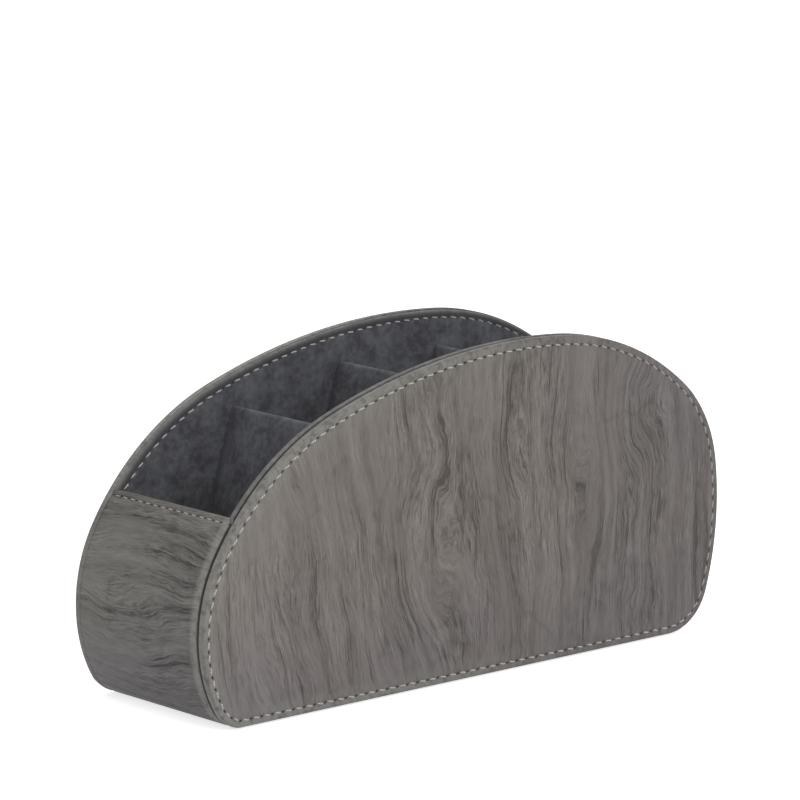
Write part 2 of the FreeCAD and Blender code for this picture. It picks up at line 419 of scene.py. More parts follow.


# %% [markdown]
# ## From a sheet to a piece
#
# A sheet is drawn in millimetres. Making it a piece merges its doubles, turns its faces outwards,
# scales it to metres, gives it thickness, hides the CAD nodes it stands for and prints how far it
# reaches beyond the first. Doing that in one place keeps every piece at the origin with its place in
# its mesh, as the export expects.


# %% Make a piece from a sheet
def make_piece(sheet, name, finishes, nodes, outside, thickness=0.0, map_from=None, crease=40.0):
    """A finished object from a sheet. Outside gives an outward direction for a face's middle."""
    bmesh.ops.remove_doubles(sheet, verts=sheet.verts, dist=0.002)
    bmesh.ops.recalc_face_normals(sheet, faces=sheet.faces)
    facing = [face.calc_area() * face.normal.dot(outside(face.calc_center_median()))
              for face in sheet.faces]
    if sum(facing) < 0.0:
        bmesh.ops.reverse_faces(sheet, faces=sheet.faces)
    if map_from is not None:
        surface = sheet.loops.layers.uv.new("surface")
        along = sheet.verts.layers.float["along"]
        for face in sheet.faces:
            for corner in face.loops:
                corner[surface].uv = (corner.vert.co.y * MM, (corner.vert[along] + map_from) * MM)
    bmesh.ops.scale(sheet, vec=(MM, MM, MM), verts=sheet.verts)
    mesh = bpy.data.meshes.new(name)
    sheet.to_mesh(mesh)
    sheet.free()
    for note in ("inward", "along", "phase"):
        if note in mesh.attributes:
            mesh.attributes.remove(mesh.attributes[note])
    mesh.shade_smooth()
    mesh.set_sharp_from_angle(angle=math.radians(crease))
    for finish in finishes:
        mesh.materials.append(finish)
    piece = bpy.data.objects.new(name, mesh)
    scene.collection.objects.link(piece)
    if thickness:
        wall = piece.modifiers.new("thickness", "SOLIDIFY")
        wall.thickness = thickness * MM
        wall.offset = -1.0
    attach(piece, "root")
    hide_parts(*nodes)
    past = []
    for axis, (low, high) in enumerate(zip(*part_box(nodes[0]))):
        places = [vertex.co[axis] for vertex in mesh.vertices]
        past.append(round(max(max(places) - high, low - min(places)) / MM, 2))
    print(name, len(mesh.polygons), "faces; beyond its node by", past, "mm")
    return piece


def away_from(x, y, z):
    """Outwards as seen from a point inside, in millimetres."""
    return lambda middle: middle - Vector((x, y, z))


# %% [markdown]
# ## Wood-grain leather
#
# The leather is printed, like a veneer: long dark streaks that wander, thin lines between them, fine
# pores, the edges of a few flakes, and calm patches where the figure fades. An image could be wrapped
# on, but nodes stay sharp at any size. The distance across the grain is bent by slow noise, and noise
# that is stretched along the grain is read there, so streaks and lines bend together, as in wood.
# Every cover also carries two notes on its vertices: margin, where it is rolled over an edge and looks
# paler and puckered, and hole, where it sinks into a seam or under a needle and shade is painted on.
# Beside the band's right seam the margin is a painted highlight, and on the trims it paints the strip
# darker inwards.


# %% Printed wood figure
def drawn_out(tree, across, along, wide, tall, shift, detail=2.0, roughness=0.5):
    """Noise whose spots are about so wide and so tall, in mm. Shift picks another patch of it."""
    spot = point(tree, calc(tree, "DIVIDE", across, wide), calc(tree, "DIVIDE", along, tall), shift)
    return noise(tree, spot, 1.0, detail, roughness)


def centred(tree, value, strength):
    """Noise as a swing to both sides of nothing."""
    return times(tree, calc(tree, "SUBTRACT", value, 0.5), strength)


Bend = namedtuple("Bend", "wide tall shift swing")
Knot = namedtuple("Knot", "across along wide tall push")
bends = (Bend(45.0, 110.0, 0.0, 24.0), Bend(9.0, 20.0, 3.0, 3.8), Bend(3.0, 5.5, 17.0, 1.0))
ring_pitch = 5.2


def bend_grain(tree, across, along, knots):
    """The distance across the grain, bent by noise of three sizes and pushed aside at a few knots."""
    lean = times(tree, along, between(tree, across, 40.0, -70.0, 0.0, 0.22))
    bent = plus(tree, across, lean)
    for bend in bends:
        slow = drawn_out(tree, across, along, bend.wide, bend.tall, bend.shift, 2.5)
        bent = plus(tree, bent, centred(tree, slow, bend.swing))
    for knot in knots:
        dx = calc(tree, "DIVIDE", calc(tree, "SUBTRACT", across, knot.across), knot.wide)
        dz = calc(tree, "DIVIDE", calc(tree, "SUBTRACT", along, knot.along), knot.tall)
        reach = plus(tree, times(tree, dx, dx), times(tree, dz, dz))
        fade = calc(tree, "DIVIDE", knot.push, plus(tree, 1.0, times(tree, reach, reach)))
        bent = plus(tree, bent, fade)
    return bent


def growth_rings(tree, bent, along):
    """Dark edges of the rings: soft on one side, crisp on the other, and strong only in places."""
    uneven = times(tree, drawn_out(tree, bent, along, 11.0, 120.0, 11.0), 3.0)
    part = calc(tree, "FRACT", plus(tree, calc(tree, "DIVIDE", bent, ring_pitch), uneven))
    strong = between(tree, drawn_out(tree, bent, along, 7.0, 90.0, 4.0), 0.44, 0.60)
    return times(tree, between(tree, part, 0.50, 0.95), between(tree, part, 0.95, 1.0, 1.0, 0.0), strong)


def flake_edges(tree, across, along):
    """Faint outlines of a few flakes, sharp on one side."""
    flake = drawn_out(tree, across, along, 24.0, 30.0, 13.0, 1.8)
    somewhere = between(tree, drawn_out(tree, across, along, 20.0, 30.0, 31.0), 0.47, 0.56)
    sharp, soft = between(tree, flake, 0.500, 0.520), between(tree, flake, 0.520, 0.575, 1.0, 0.0)
    return times(tree, sharp, soft, somewhere)


def grain_figure(tree, across, along, knots=()):
    """How dark the print is, and its hair lines, round about 0. Distances are in mm."""
    bent = bend_grain(tree, across, along, knots)
    broad = drawn_out(tree, bent, along, 5.5, 90.0, 5.0, 3.0, 0.6)
    middle = drawn_out(tree, bent, along, 1.4, 32.0, 9.0, 3.0, 0.65)
    hair = drawn_out(tree, bent, along, 0.40, 7.0, 2.0, 3.0, 0.7)
    pore = drawn_out(tree, bent, along, 0.5, 1.3, 21.0, 2.0)
    calm = between(tree, drawn_out(tree, bent, along, 24.0, 60.0, 7.0, 3.0), 0.41, 0.54, 0.15, 1.0)
    dark_line = times(tree, between(tree, middle, 0.44, 0.36), 0.56)
    ring = times(tree, growth_rings(tree, bent, along), 0.42)
    streaks = times(tree, plus(tree, dark_line, ring, centred(tree, middle, 1.6)), calm)
    flakes = times(tree, flake_edges(tree, across, along), 0.12)
    fine = plus(tree, centred(tree, hair, 1.9), centred(tree, pore, 0.25))
    drawn = plus(tree, streaks, centred(tree, broad, 1.2), flakes)
    return drawn, times(tree, fine, between(tree, calm, 0.15, 1.0, 0.6, 1.0))


# %% Leather with the figure printed on it
def stepped(tree, steps):
    """Sum of smooth steps over the holder. A step is an axis, two places in mm and the values there."""
    spot = add(tree, "ShaderNodeSeparateXYZ", {0: object_mm(tree)}).outputs
    total = 0.0
    for axis, low, high, to_low, to_high in steps:
        total = plus(tree, total, between(tree, spot[axis], low, high, to_low, to_high))
    return total


Tones = namedtuple("Tones", "pale cool dark rim")


def grain_leather(name, tones, axes, source, shift=0.0, knots=(), tone_and_light=()):
    """Printed leather. Of source, Object or UV, the first of the axes runs across the grain."""
    finish, tree = new_finish(name)
    coordinates = add(tree, "ShaderNodeTexCoord").outputs[source]
    in_mm = add(tree, "ShaderNodeMapping", {0: coordinates, 3: (1000.0, 1000.0, 1000.0)}).outputs[0]
    parts = add(tree, "ShaderNodeSeparateXYZ", {0: in_mm}).outputs
    across, along = plus(tree, parts[axes[0]], shift), parts[axes[1]]
    margin = noted(tree, "margin")
    drawn, fine = grain_figure(tree, across, along, knots)
    drawn = times(tree, drawn, calc(tree, "SUBTRACT", 1.0, times(tree, margin, 0.4)))
    # Tone and light are added to the print's darkness: painted light on the panels and painted shade on
    # the band, each partly the leather's own tone.
    share = clamped(tree, plus(tree, drawn, fine, stepped(tree, tone_and_light)))
    coolness = centred(tree, drawn_out(tree, across, along, 60.0, 60.0, 6.0), 1.6)
    coolness = clamped(tree, plus(tree, coolness, stepped(tree, cooler)))
    colour = tint(tree, share, tint(tree, coolness, tones.pale, tones.cool), tones.dark)
    # The margin colour: on the band a painted highlight beside the right seam, on the panels their paler
    # rolled rims.
    colour = tint(tree, times(tree, margin, stepped(tree, rim_tone)), colour, tones.rim)
    pucker = between(tree, noise(tree, object_mm(tree), 0.34, 4.0, 0.65), 0.44, 0.70, 0.0, 0.6)
    colour = tint(tree, times(tree, margin, pucker), colour, tones.dark)
    # Painted shade where the hole note is set: needle holes, the right seam's crease and the rim's
    # corner.
    colour = tint(tree, times(tree, noted(tree, "hole"), stepped(tree, pit_shade_strength)), colour, painted_pit_shade)
    pebble = add(tree, "ShaderNodeTexVoronoi", {"Vector": in_mm, "Scale": 1.6}).outputs["Distance"]
    height = calc(tree, "SUBTRACT", times(tree, pebble, 0.25), times(tree, share, 0.75))
    coat(tree, colour, between(tree, share, 0.0, 1.0, 0.52, 0.68), 0.35, height, 0.45, 0.00022)
    return finish


print("noise that bends the grain:", [bend.wide for bend in bends], "mm wide")

# %% Colours and knots of the leather
cooler = ((2, 8.0, 62.0, 0.75, 0.05), (0, 10.0, 120.0, 0.0, 0.6))
# Painted light on the panels, partly their calm pale print: lighter towards the front, near the base and
# at the top.
panel_light_and_tone = ((0, -115.0, -65.0, 0.20, 0.40), (0, -65.0, 0.0, 0.0, 0.08),
              (2, 10.0, 60.0, -0.06, 0.0), (2, 80.0, 112.0, 0.0, -0.08))
# Painted shade on the band, over a darker tone all over: darker towards the lip, and at the base, where
# it meets the floor.
band_shade_and_tone = ((2, 52.0, 76.0, 0.26, 0.40), (2, 6.0, 26.0, 0.16, 0.0))
# How strong the margin colour is, more at the front. On the band this is the painted highlight.
rim_tone = ((0, -40.0, 60.0, 0.55, 0.15),)
# Painted shade in holes and seams: how strong it is, stronger at the front, and its colour.
pit_shade_strength = ((0, 0.0, 80.0, 0.97, 0.65),)
painted_pit_shade = srgb(14, 13, 13)
panel_tones = Tones(srgb(134, 128, 122), srgb(123, 118, 119), srgb(72, 67, 64), srgb(138, 139, 134))
# The band's rim colour is its painted highlight beside the right seam.
band_tones = Tones(srgb(126, 124, 118), srgb(109, 105, 109), srgb(43, 42, 40), srgb(165, 164, 158))
panel_knots = (Knot(82.0, 92.0, 13.0, 17.0, 9.0), Knot(64.0, 62.0, 9.0, 22.0, -6.0),
               Knot(-22.0, 52.0, 15.0, 30.0, 9.0), Knot(-78.0, 66.0, 12.0, 24.0, -7.0),
               Knot(20.0, 88.0, 8.0, 26.0, 5.0))
band_knots = (Knot(1296.0, 8.0, 14.0, 26.0, -5.5), Knot(1269.0, 4.0, 14.0, 24.0, 6.0))
panel_finish = {
    -1: grain_leather("panel_leather_right", panel_tones, (0, 2), "Object", 0.0, panel_knots, panel_light_and_tone),
    1: grain_leather("panel_leather_left", panel_tones, (0, 2), "Object", 410.0, (), panel_light_and_tone),
}
band_finish = grain_leather("band_grain", band_tones, (1, 0), "UV", 900.0, band_knots, band_shade_and_tone)
print("leather:", [material.name for material in (*panel_finish.values(), band_finish)])


# %% [markdown]
# ## Plainer finishes
#
# The suede is dark blue-grey, with a nap that is brushed lighter and darker in cloudy patches. The
# trim that binds the inner boards is the same suede, pale at the seam, partly as a painted highlight,
# and painted darker inwards until it is as dark as the lining; shade is painted along its right seam.
# The thread is pale and twisted, with shade painted on it towards the back. The pad is felt, and the
# boards are pressed fibre.


# %% Suede and trim
def suede(name, pale, dark, deep):
    """Napped suede: cloudy patches, fine fibres and a soft sheen. Its margin is painted towards deep, and
    its holes take painted shade.
    """
    finish, tree = new_finish(name)
    place_mm = object_mm(tree)
    cloud = noise(tree, place_mm, 0.09, 5.0, 0.62)
    brushed = noise(tree, place_mm, 0.42, 4.0, 0.6)
    fibre = noise(tree, place_mm, 2.4, 3.0, 0.7)
    patches = between(tree, cloud, 0.36, 0.64, 0.0, 0.45)
    strokes = between(tree, brushed, 0.38, 0.62, -0.08, 0.32)
    share = clamped(tree, plus(tree, patches, times(tree, fibre, 0.30), strokes))
    colour = tint(tree, times(tree, noted(tree, "margin"), 0.9), tint(tree, share, dark, pale), deep)
    # Painted shade in the needle holes of the lining, and in the right trim's seam.
    colour = tint(tree, times(tree, noted(tree, "hole"), 0.7), colour, srgb(18, 18, 20))
    coat(tree, colour, between(tree, cloud, 0.3, 0.7, 0.95, 0.84), 0.12, fibre, 0.45, 0.00025,
         Sheen_Weight=0.35, Sheen_Roughness=0.45, Sheen_Tint=srgb(170, 172, 182))
    return finish


suede_finish = suede("napped_suede", srgb(106, 107, 111), srgb(68, 68, 73), srgb(68, 68, 73))
# The trim's pale shows at the seam, partly as a painted highlight; its deep is the lining's dark.
trim_finish = suede("napped_trim", srgb(132, 131, 128), srgb(96, 95, 94), srgb(64, 64, 68))
print("soft finishes:", suede_finish.name, trim_finish.name)


# %% Thread, felt and board
def twisted_thread(name, pale, dark):
    """Thread whose two plies wind round each other. The UV map runs round and along each stitch."""
    finish, tree = new_finish(name)
    stitch_map = add(tree, "ShaderNodeTexCoord").outputs["UV"]
    round_it, along_it = add(tree, "ShaderNodeSeparateXYZ", {0: stitch_map}).outputs[:2]
    wind = plus(tree, times(tree, round_it, 4.0 * math.pi), times(tree, along_it, 34.0))
    ply = plus(tree, times(tree, calc(tree, "SINE", wind), 0.5), 0.5)
    fuzz = noise(tree, object_mm(tree), 3.0, 2.0)
    # Painted shade: the thread is darkened towards the back, above the lowest stitches.
    towards_back = stepped(tree, ((0, 0.0, 80.0, 0.0, 0.6),))
    back_shade = times(tree, towards_back, stepped(tree, ((2, 4.0, 14.0, 0.0, 1.0),)))
    colour = tint(tree, between(tree, times(tree, ply, fuzz), 0.05, 0.35), dark, pale)
    colour = tint(tree, back_shade, colour, dark)
    coat(tree, colour, between(tree, fuzz, 0.3, 0.7, 0.55, 0.75), 0.3, ply, 0.6, 0.0001)
    return finish


def felted(name, pale, dark, scale, bumps):
    """Pressed fibres: felt where the bumps are strong, and hardboard where they are fine and flat."""
    finish, tree = new_finish(name)
    place_mm = object_mm(tree)
    cloud = noise(tree, place_mm, scale * 0.1, 4.0, 0.6)
    fibre = noise(tree, place_mm, scale, 4.0, 0.75)
    share = plus(tree, times(tree, cloud, 0.6), times(tree, fibre, 0.5))
    roughness = between(tree, fibre, 0.3, 0.7, 0.98, 0.82)
    coat(tree, tint(tree, share, dark, pale), roughness, 0.15, fibre, bumps, 0.0002)
    return finish


thread_finish = twisted_thread("twisted_thread", srgb(214, 208, 201), srgb(146, 141, 136))
felt_finish = felted("pad_felt", srgb(52, 52, 54), srgb(28, 28, 30), 2.2, 0.8)
board_finish = felted("fibre_board", srgb(150, 122, 92), srgb(106, 82, 58), 3.0, 0.35)
boards = [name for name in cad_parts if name.endswith("_board")]
for name in boards:
    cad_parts[name].data.materials.clear()
    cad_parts[name].data.materials.append(board_finish)
print("boards kept from the CAD:", len(boards))

# %% [markdown]
# ## Side panels
#
# On the real holder one piece of leather covers each outer board, rolls round its edge and is glued
# down behind it, with a row of stitches all round. A plate with a bevel would be quicker, but the
# stitches pull the leather down into a shallow channel with a pit at each needle hole. So the
# outline is drawn with six steps to a stitch, and pulled ring by ring: up out of the seam, round the
# rim, down into the channel and out onto the face. Over the front of the dome the right rim lies a
# little further in and is wider, and the left rim stands a little out, as the photograph shows. Round
# the front foot the leather is pressed a little rounder. Behind its face the left panel shows the
# band's print, and beside the band it is hardly paler, because there the two meet grain to grain.

# %% The section of a side panel
hands = {-1: "right", 1: "left"}
seam_y = 34.7
face_y = 37.7
stitch_inset = 2.7
stitch_pitch = 5.0
channel_depth = 0.2
rim_offset = {-1: 0.4, 1: -0.4}
row_offset = 0.7
foot_offset = 0.7
hole_reach = 0.16
pit_depth = 0.55
fold_rise = 1.3
back_to_foot = sum(leg_length(leg) for leg in legs(moved(back_heading, fold_rise), 180.0))
Ring = namedtuple("Ring", "inset y margin pit shade")


def roll(inset, y, radius, first, last, steps):
    """Points of a rolled edge round a centre. 0 degrees faces the seam, 90 outwards and 180 the face."""
    turns = [math.radians(first + (last - first) * step / steps) for step in range(steps + 1)]
    return [(inset - radius * math.sin(turn), y - radius * math.cos(turn)) for turn in turns]


def panel_rings(seam_roll, rim_roll, rim_margin, shade):
    """The rings of a side panel, from the seam to the flat face. Shade darkens the seam's corner."""
    edge = [(1.0, seam_y + 0.05)]
    edge += roll(seam_roll, seam_y + seam_roll, seam_roll, 15.0, 90.0, 3)
    edge += roll(rim_roll, face_y - rim_roll, rim_roll, 90.0, 180.0, 6)
    rings = []
    for inset, y in edge:
        corner = 0.1 < inset < 0.5 and y > 36.0
        rings.append(Ring(inset, y, rim_margin, 0.0, shade if corner else 0.0))
    for inset, sink, margin, pit in channel:
        rings.append(Ring(inset, face_y - sink * channel_depth, margin, pit, 0.0))
    return rings


channel = ((2.08, 0.0, 1.0, 0.0), (2.35, 0.5, 1.0, 0.35), (2.55, 1.0, 0.9, 0.6),
           (stitch_inset, 1.0, 0.7, 0.8), (2.85, 1.0, 0.6, 0.6), (3.05, 0.5, 0.5, 0.35),
           (3.4, 0.0, 0.35, 0.0), (5.0, 0.0, 0.3, 0.0), (8.5, 0.0, 0.0, 0.0))
section = {-1: panel_rings(0.8, 0.9, 1.0, 0.15), 1: panel_rings(0.2, 0.9, 0.9, 0.0)}
print("rings across the rim:", len(section[-1]))


# %% Side panels
def near_hole(phase):
    """1 at a needle hole, fading over the next step of the stitch."""
    distance = min(phase, 1.0 - phase)
    return max(0.0, 1.0 - distance / hole_reach)


def dome_front(inward):
    """1 on the front half of the dome, fading to 0 at the front, the back and the base."""
    return max(0.0, -inward.z) * min(1.0, max(0.0, 1.2 + 1.7 * inward.x))


def front_foot(inward):
    """How much further in the leather lies round the front foot."""
    if inward.x <= 0.0 or inward.z <= 0.0:
        return 0.0
    return foot_offset * 5.4 * inward.x ** 2 * inward.z ** 3


def holes_of(sheet, edges, kept=lambda vertex: True):
    """Places of the needle holes on a ring of edges, in the order of the outline."""
    notes, _ = notes_of(sheet)
    ring = {vertex for edge in edges for vertex in edge.verts}
    row = [vertex for vertex in ring if vertex[notes["phase"]] < 0.01 and kept(vertex)]
    return [vertex.co.copy() for vertex in sorted(row, key=lambda vertex: vertex[notes["along"]])]


def paler(side, ring, spot):
    """How pale a ring is. The left rim is hardly paler than the band, up to the height of the lip."""
    beside_band = min(1.0, max(0.0, (place(lip_heading).z - 2.0 - spot.z) / 6.0))
    return ring.margin * (1.0 - 0.85 * beside_band if side > 0 and ring.y < face_y - 0.1 else 1.0)


def side_panel(side):
    """The leather of one side, and the needle holes of its stitches."""
    sheet = new_sheet()
    first = section[side][0]
    draw_line(sheet, side * first.y, 180.0, whole, stitch_pitch, stitch_steps, stitch_inset)
    edges = close_line(sheet)
    notes, inward = notes_of(sheet)
    for vertex in sheet.verts:
        shift = rim_offset[side] * dome_front(vertex[inward]) + front_foot(vertex[inward])
        vertex.co += vertex[inward] * (first.inset + shift)
        vertex[notes["margin"]] = paler(side, first, vertex.co)
    holes = []
    for before, ring in zip(section[side], section[side][1:]):
        def set_in(vertex):
            wider = row_offset * dome_front(vertex[inward]) if before.inset < 2.0 <= ring.inset else 0.0
            vertex.co += vertex[inward] * (ring.inset - before.inset + wider)
            press = near_hole(vertex[notes["phase"]]) * ring.pit
            vertex.co.y = side * (ring.y - pit_depth * press)
            vertex[notes["margin"]] = paler(side, ring, vertex.co)
            # Painted shade in the needle holes, and in the corner by the seam.
            vertex[notes["hole"]] = min(1.0, max(2.2 * press, ring.shade))
        edges = pull(sheet, edges, set_in)
        if ring.inset == stitch_inset:
            holes = holes_of(sheet, edges)
    bmesh.ops.edgeloop_fill(sheet, edges=edges)
    finishes = [panel_finish[side]]
    if side > 0:
        finishes.append(band_finish)
        for face in sheet.faces:
            face.material_index = int(face.calc_center_median().y < face_y - 0.1)
    piece = make_piece(sheet, f"{hands[side]}_side_panel", finishes,
                       [f"{hands[side]}_outer_cover"], away_from(0.0, side * seam_y, 60.0),
                       0.9, back_to_foot)
    return piece, holes


panels, panel_holes = zip(*[side_panel(side) for side in hands])
print("needle holes on each side:", [len(row) for row in panel_holes])

# %% [markdown]
# ## Band
#
# The band is one strip of the same leather on its own board. Its grain runs across the holder. It
# could be a box with bevels, but the real edges are soft: the leather rolls off over the last few
# millimetres beside each seam, and folds over both ends of the board and down inside. So the outline
# is drawn from the back's end round the base to the lip, pulled across the width, and the two end
# edges are then pulled on round the fold.

# %% The band's measures
band_half = 34.7
band_thick = 4.0
band_edge_depth = {-1: 1.15, 1: 0.15}
band_edge_width = 3.0
crease_shade_width = 1.25
highlight_width = 5.4
turn_in = 9.0
flap_half = 31.85
row_distance = 3.0
row_half = 33.5
row_stitches = 15
end_zone = (fold_rise, 2.0, 2.5, 2.8, row_distance, 3.2, 3.5, 4.0, 5.5, turn_in)


def end_steps():
    """Shares of the stretch from the fold to the end of the turned-in leather."""
    return [(far - near) / (turn_in - fold_rise) for near, far in zip(end_zone, end_zone[1:])]


def column_places():
    """Places across the band and the stitch phase at each. They lie close together at the edges."""
    rim = [(-band_half + distance, 0.5) for distance in (0.0, 0.08, 0.25, 0.45, 0.7, 0.95)]
    pitch = 2.0 * row_half / row_stitches
    middle = [(-row_half, 0.0)]
    for number in range(row_stitches):
        for step in range(len(stitch_steps)):
            done = sum(stitch_steps[:step + 1])
            middle.append((-row_half + pitch * (number + done), done % nearly_one))
    return rim + middle + [(-y, phase) for y, phase in reversed(rim)]


print("columns across the band:", len(column_places()))


# %% How the band's leather sinks
def edge_sink(y):
    """How far the leather rolls off towards the seams."""
    reach = max(0.0, abs(y) - band_half + band_edge_width) / band_edge_width
    depth = band_edge_depth[1 if y > 0.0 else -1]
    return depth * (1.0 - math.sqrt(max(0.0, 1.0 - reach * reach)))


def crease_shade(y):
    """1 where shade is painted into the crease at the right seam, and 0 outside it. The left seam is
    closed.
    """
    return min(1.0, max(0.0, (crease_shade_width - band_half - y) / 0.4))


def seam_highlight(y):
    """Up to 0.8 beside the right seam: a painted highlight where the leather rolls over the board's edge.
    """
    return 0.8 * min(1.0, max(0.0, (highlight_width - band_half - y) / 2.2))


def row_sink(distance, phase):
    """Depth of the stitch row's channel and pits, at a distance from the end of the band."""
    off = abs(distance - row_distance)
    dip = 0.18 * max(0.0, 1.0 - (off / 0.9) ** 2)
    pit = 0.35 * near_hole(phase) * max(0.0, 1.0 - off / 0.45)
    return dip, pit


def end_place(end, distance, inset, y, rise=0.0):
    """A place near one end of the band. End is 1 at the lip and -1 at the top of the back."""
    heading = moved(lip_heading if end > 0 else back_heading, -end * distance)
    return place(heading, inset, y) + onwards(heading) * (end * rise)


def fold_over(sheet, end, edges):
    """Pulls an end of the leather round the board's end and down the inside."""
    along = sheet.verts.layers.float["along"]
    stops = [(math.radians(turn), fold_rise) for turn in range(20, 181, 20)]
    stops += [(math.pi, distance) for distance in (3.0, 5.0, 7.0, turn_in - 0.4)]
    half = band_thick / 2.0
    across = {}
    for turn, distance in stops + [(None, turn_in - 0.1), (None, turn_in)]:
        def fold(vertex):
            y = across.get(tuple(vertex.co), vertex.co.y)
            narrow = flap_half / band_half
            if turn is None:
                inset = band_thick - (0.25 if distance < turn_in else 0.75)
                spot = end_place(end, distance, inset, y * narrow)
            else:
                narrow = 1.0 - (1.0 - narrow) * max(0.0, -math.cos(turn))
                reach = half - edge_sink(y) if math.cos(turn) > 0 else half
                spot = end_place(end, distance, half - reach * math.cos(turn), y * narrow,
                                 fold_rise * math.sin(turn) if distance == fold_rise else 0.0)
            vertex[along] += end * (spot - vertex.co).length
            vertex.co = spot
            moved_to[tuple(spot)] = y
        moved_to = {}
        edges = pull(sheet, edges, fold)
        across = moved_to


# %% The band's leather
def band_sheet():
    """Draws the band, and gives back its sheet and the needle holes near its two ends."""
    sheet = new_sheet()
    columns = column_places()
    first_y = columns[0][0]
    back_in, lip_in = moved(back_heading, turn_in), moved(lip_heading, -turn_in)
    back_start, lip_end = moved(back_heading, fold_rise), moved(lip_heading, -fold_rise)
    steps = end_steps()
    dot = draw_line(sheet, first_y, back_start, legs(back_start, back_in), turn_in, steps)
    dot = draw_line(sheet, first_y, back_in, legs(back_in, lip_in), 2.6, dot=dot)
    dot = draw_line(sheet, first_y, lip_in, legs(lip_in, lip_end), turn_in, steps[::-1], dot=dot)
    notes, inward = notes_of(sheet)
    length = dot[notes["along"]]
    for vertex in sheet.verts:
        vertex[notes["phase"]] = 0.5
    edges = list(sheet.edges)
    for y, part in columns[1:]:
        def carry(vertex):
            vertex.co.y = y
            vertex[notes["phase"]] = part
        edges = pull(sheet, edges, carry)
    holes = {1: [], -1: []}
    ends = {1: [], -1: []}
    for vertex in sheet.verts:
        travelled, phase = vertex[notes["along"]], vertex[notes["phase"]]
        end = 1 if travelled > length / 2.0 else -1
        distance = fold_rise + (length - travelled if end > 0 else travelled)
        dip, pit = row_sink(distance, phase)
        # Painted shade in the stitch row's pits and in the crease at the right seam.
        vertex[notes["hole"]] = min(1.0, max(5.0 * pit, crease_shade(vertex.co.y)))
        # A painted highlight beside the right seam.
        vertex[notes["margin"]] = seam_highlight(vertex.co.y)
        sunk = edge_sink(vertex.co.y) + dip + pit
        vertex.co += vertex[inward] * (sunk + front_foot(vertex[inward]))
        if abs(distance - row_distance) < 0.02 and phase < 0.01:
            holes[end].append(vertex.co - vertex[inward] * pit)
        if distance < fold_rise + 0.01:
            ends[end].append(vertex)
    for end, rim in ends.items():
        rim = set(rim)
        fold_over(sheet, end, [edge for edge in sheet.edges if rim.issuperset(edge.verts)])
    return sheet, {end: sorted(row, key=lambda spot: spot.y) for end, row in holes.items()}


sheet, band_holes = band_sheet()
band = make_piece(sheet, "band", [band_finish], ["band_cover"],
                  away_from(0.0, 0.0, 50.0), 0.8, 0.0)
print("needle holes in each row:", len(band_holes[1]), len(band_holes[-1]))

# %% [markdown]
# ## Trim of the inner boards
#
# Above the lip each inner board shows its edge, bound in a narrow strip. It is a U in section, rolled
# more on the inside than at the seam. Its two ends run a little way down in front of the lip and
# behind the back, where the real strip is tucked into the seam, as a small tab. The inner boards sit
# a little further forward than the outer ones, so the strip stands proud on the front of the dome.

# %% Trim strips
trim_tab = 2.2
forward = 0.8
trim_section = [(1.2, 34.62)] + roll(0.6, 34.02, 0.6, 180.0, 90.0, 4)
trim_section += [(0.0, 33.8)] + roll(1.7, 33.55, 1.65, 90.0, 0.0, 6)
trim_section += [(1.85, 31.89), (2.02, 31.92), (2.12, 32.15)]


def trim_strip(side):
    """Leather strip round the open edge of one inner board."""
    sheet = new_sheet()
    start, end = moved(lip_heading, -trim_tab), moved(back_heading, trim_tab)
    inset, y = trim_section[0]
    last = draw_line(sheet, side * y, start, legs(start, end), 2.4)
    notes, inward = notes_of(sheet)
    length = last[notes["along"]]

    def tuck(vertex):
        """How far the strip's ends sink towards the band."""
        over = trim_tab - min(vertex[notes["along"]], length - vertex[notes["along"]])
        return 0.95 * max(0.0, over / trim_tab) ** 2

    # Painted shade along the right trim's seam.
    seam_shade = float(side < 0)
    for vertex in sheet.verts:
        vertex.co += vertex[inward] * (inset + tuck(vertex))
        vertex.co.x -= forward
        vertex[notes["hole"]] = seam_shade
    edges = list(sheet.edges)
    for (before, _), (inset, y) in zip(trim_section, trim_section[1:]):
        def shape(vertex):
            vertex.co += vertex[inward] * (inset - before)
            vertex.co.y = side * y
            vertex[notes["hole"]] = seam_shade * (0.6 if 0.5 < inset and y > 34.3 else 0.0)
            # The margin paints the strip from pale at the seam, partly a painted highlight, to the
            # lining's dark inside.
            vertex[notes["margin"]] = min(1.0, max(0.0, (33.2 - y) / 1.3))
        edges = pull(sheet, edges, shape)
    return make_piece(sheet, f"{hands[side]}_trim", [trim_finish],
                      [f"{hands[side]}_inner_edging"], away_from(0.0, side * 33.0, 50.0), 0.5)


trims = [trim_strip(side) for side in hands]
print("trim reaches", trim_tab, "mm below the lip")

# %% [markdown]
# ## Suede linings
#
# A sheet of suede is glued to the inside of each side board and stitched along the open edge. It
# could be one flat face, but the row of stitches presses it down, and its edge goes under the trim.
# It is drawn like the side panels, with the stitch steps only where the dome is open.

# %% Linings of the sides
lining_y = 31.9
dome_inset = 2.7
dome_pitch = 4.8
Nap = namedtuple("Nap", "dome band y pit")
lining_rings = [
    Nap(1.75, 3.30, 0.45, 0.0),
    Nap(1.80, 3.40, 0.06, 0.0),
    Nap(2.20, 3.60, 0.04, 0.1),
    Nap(2.50, 3.80, 0.16, 0.35),
    Nap(2.70, 4.00, 0.18, 0.6),
    Nap(2.90, 4.20, 0.16, 0.35),
    Nap(3.30, 4.60, 0.04, 0.1),
    Nap(3.90, 5.20, 0.0, 0.0),
    Nap(5.10, 6.40, 0.0, 0.0),
]


